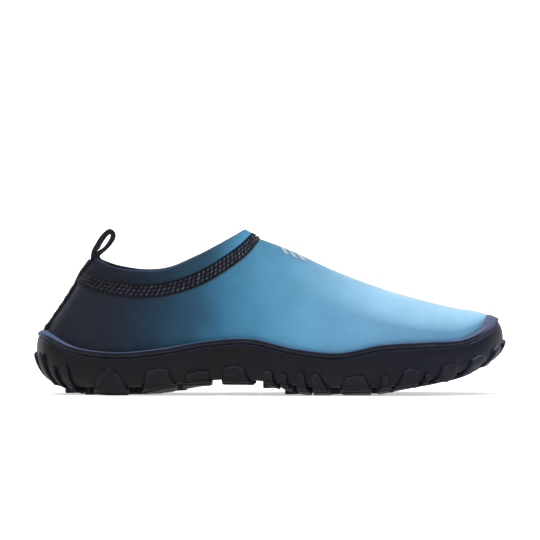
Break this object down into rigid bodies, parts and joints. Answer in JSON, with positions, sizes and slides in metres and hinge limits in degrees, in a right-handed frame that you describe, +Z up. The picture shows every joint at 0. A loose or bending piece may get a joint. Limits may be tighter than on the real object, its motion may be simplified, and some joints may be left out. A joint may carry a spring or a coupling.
{
  "type": "water shoe",
  "caption": "Low-cut slip-on neoprene water shoe, right foot, with a lugged rubber sole, flatlock collar seam, removable sock liner and heel pull loop.",
  "frame": {"origin": "on the ground under the middle of the shoe's bounding box", "axes": "+X to the toe, +Y to the inner side of the foot, +Z up; the outer side faces -Y"},
  "size_m": [0.28, 0.1028, 0.0985],
  "materials": {
    "outsole_rubber": "matte moulded rubber",
    "midsole_foam": "closed-cell foam",
    "strobel_fabric": "nonwoven",
    "liner_foam": "open-cell foam",
    "liner_knit": "knit",
    "neoprene": "nylon jersey on neoprene foam, dyed dark at the heel to light at the toe",
    "neoprene_cuff": "nylon jersey on neoprene foam",
    "thread": "textured polyester thread",
    "counter_board": "thermoformed sheet",
    "lining_knit": "brushed knit",
    "webbing": "woven nylon",
    "transfer": "heat-transfer film"
  },
  "bodies": {
    "shoe": {"outsole": "outsole_rubber", "midsole": "midsole_foam", "strobel_sock": "strobel_fabric", "sock_liner": "liner_foam", "sock_liner_cover": "liner_knit", "upper": "neoprene", "collar_cuff": "neoprene_cuff", "flatlock_cover_thread": "thread", "flatlock_looper_thread": "thread", "heel_counter": "counter_board", "heel_lining": "lining_knit", "toe_puff": "counter_board", "heel_tape": "webbing", "heel_tape_stitching": "thread", "vamp_transfer": "transfer", "loop_anchor": "webbing", "bartacks": "thread"},
    "pull_loop": {"pull_loop": "webbing"}
  },
  "joints": [
    {"name": "pull_loop_bend", "type": "hinge", "parent": "shoe", "child": "pull_loop", "pos_m": [-0.10357, -0.00149, 0.0851], "axis": [0, 1, 0], "range_deg": [-90, 45], "stiffness_Nm_per_rad": 0.02}
  ]
}
